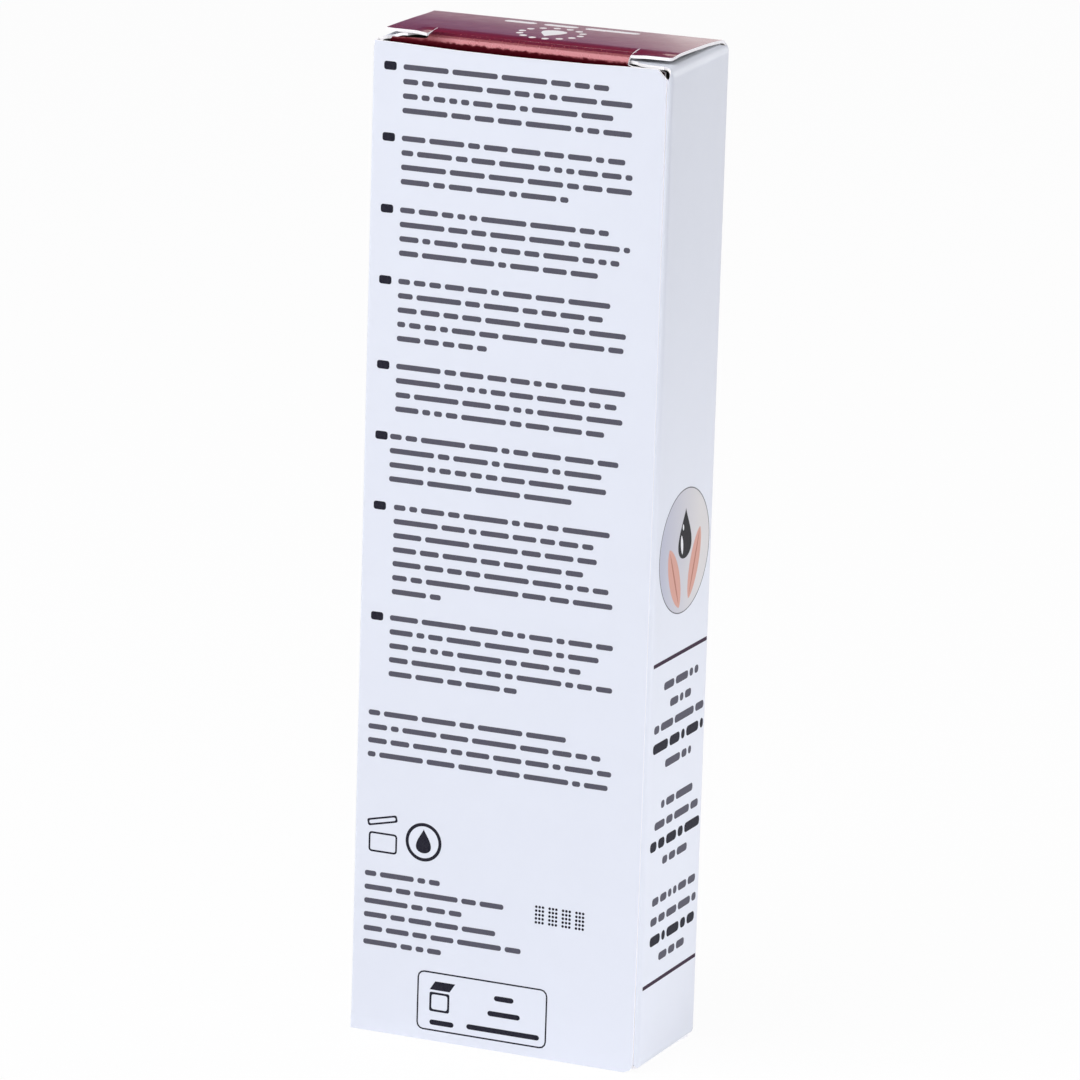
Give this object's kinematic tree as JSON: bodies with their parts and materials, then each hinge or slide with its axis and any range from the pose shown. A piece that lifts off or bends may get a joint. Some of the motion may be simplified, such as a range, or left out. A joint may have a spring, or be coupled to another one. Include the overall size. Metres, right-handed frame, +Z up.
{
  "type": "boxed nail care pen",
  "caption": "Upright folding carton with a hinged tuck lid, holding a capped twist-up brush pen in a folded board cradle.",
  "frame": {"origin": "middle of the base, on the surface that the carton stands on", "axes": "+Z up along the carton, -Y out of the tall printed panel that the lid tucks behind, +X out of the narrow wall on the seam side"},
  "size_m": [0.0472, 0.0216, 0.1517],
  "materials": {
    "board_white": "clay-coated white carton board, semi-gloss varnish",
    "board_burgundy": "carton board laminated with burgundy metallic film, glossy",
    "board_grey": "uncoated grey-white board",
    "shell_aluminium": "anodised burgundy, satin",
    "collar_metal": "bright anodised",
    "black_plastic": "fine satin moulding",
    "white_plastic": "plain moulded",
    "clear_plastic": "natural translucent polypropylene",
    "seal_plastic": "soft moulded polyethylene",
    "bristle": "nylon filament"
  },
  "bodies": {
    "carton": {"carton_sleeve": "board_white", "pen_cradle": "board_grey"},
    "lid": {"lid_panel": "board_burgundy"},
    "lid_tuck": {"lid_tuck": "board_burgundy"},
    "lid_dust_flap_left": {"lid_dust_flap_left": "board_white"},
    "lid_dust_flap_right": {"lid_dust_flap_right": "board_white"},
    "bottom": {"bottom_panel": "board_white"},
    "bottom_tuck": {"bottom_tuck": "board_white"},
    "bottom_dust_flap_left": {"bottom_dust_flap_left": "board_white"},
    "bottom_dust_flap_right": {"bottom_dust_flap_right": "board_white"},
    "pen": {"barrel_shell": "shell_aluminium", "reservoir_tube": "clear_plastic", "ratchet_ring": "white_plastic", "rod_guide": "white_plastic", "shoulder_collar": "collar_metal", "feed_tube": "clear_plastic", "brush_ferrule": "black_plastic", "brush_tuft": "bristle"},
    "knob": {"knob_shell": "shell_aluminium", "knob_end_plug": "collar_metal", "drive_nut": "white_plastic"},
    "piston": {"piston_rod": "white_plastic", "piston": "seal_plastic"},
    "cap": {"cap_shell": "shell_aluminium", "cap_liner": "white_plastic"}
  },
  "joints": [
    {"name": "lid_hinge", "type": "hinge", "parent": "carton", "child": "lid", "pos_m": [0, 0.0093, 0.15185], "axis": [-1, 0, 0], "range_deg": [0, 175]},
    {"name": "lid_tuck_fold", "type": "hinge", "parent": "lid", "child": "lid_tuck", "pos_m": [0, -0.0074, 0.15147], "axis": [1, 0, 0], "range_deg": [0, 63.5]},
    {"name": "lid_dust_left_fold", "type": "hinge", "parent": "carton", "child": "lid_dust_flap_left", "pos_m": [-0.02177, 0, 0.15013], "axis": [0, -1, 0], "range_deg": [0, 79]},
    {"name": "lid_dust_right_fold", "type": "hinge", "parent": "carton", "child": "lid_dust_flap_right", "pos_m": [0.02177, 0, 0.15013], "axis": [0, 1, 0], "range_deg": [0, 79]},
    {"name": "bottom_hinge", "type": "hinge", "parent": "carton", "child": "bottom", "pos_m": [0, 0.0093, -0.00015], "axis": [1, 0, 0], "range_deg": [0, 175]},
    {"name": "bottom_tuck_fold", "type": "hinge", "parent": "bottom", "child": "bottom_tuck", "pos_m": [0, -0.0074, 0.00022], "axis": [-1, 0, 0], "range_deg": [0, 63.5]},
    {"name": "bottom_dust_left_fold", "type": "hinge", "parent": "carton", "child": "bottom_dust_flap_left", "pos_m": [-0.02177, 0, 0.00097], "axis": [0, 1, 0], "range_deg": [0, 79]},
    {"name": "bottom_dust_right_fold", "type": "hinge", "parent": "carton", "child": "bottom_dust_flap_right", "pos_m": [0.02177, 0, 0.00097], "axis": [0, -1, 0], "range_deg": [0, 79]},
    {"name": "pen_lift", "type": "slide", "parent": "carton", "child": "pen", "axis": [0, 0, 1], "range_m": [0, 0.0244]},
    {"name": "cap_pull", "type": "slide", "parent": "pen", "child": "cap", "axis": [0, 0, 1], "range_m": [0, 0.0154]},
    {"name": "knob_twist", "type": "hinge", "parent": "pen", "child": "knob", "pos_m": [0, -0.0006, 0.02], "axis": [0, 0, 1], "range_deg": [0, 2160]},
    {"name": "piston_feed", "type": "slide", "parent": "pen", "child": "piston", "axis": [0, 0, 1], "range_m": [0, 0.03]}
  ],
  "couplings": [
    {"joint": "lid_hinge", "follows": "pen_lift", "rad_per_m": 125},
    {"joint": "lid_tuck_fold", "follows": "pen_lift", "rad_per_m": 45},
    {"joint": "lid_dust_left_fold", "follows": "pen_lift", "rad_per_m": 56.25},
    {"joint": "lid_dust_right_fold", "follows": "pen_lift", "rad_per_m": 56.25},
    {"joint": "cap_pull", "follows": "pen_lift", "ratio": 0.625},
    {"joint": "bottom_tuck_fold", "follows": "bottom_hinge", "ratio": 0.36},
    {"joint": "bottom_dust_left_fold", "follows": "bottom_hinge", "ratio": 0.45},
    {"joint": "bottom_dust_right_fold", "follows": "bottom_hinge", "ratio": 0.45},
    {"joint": "knob_twist", "follows": "piston_feed", "rad_per_m": 1256.6}
  ]
}
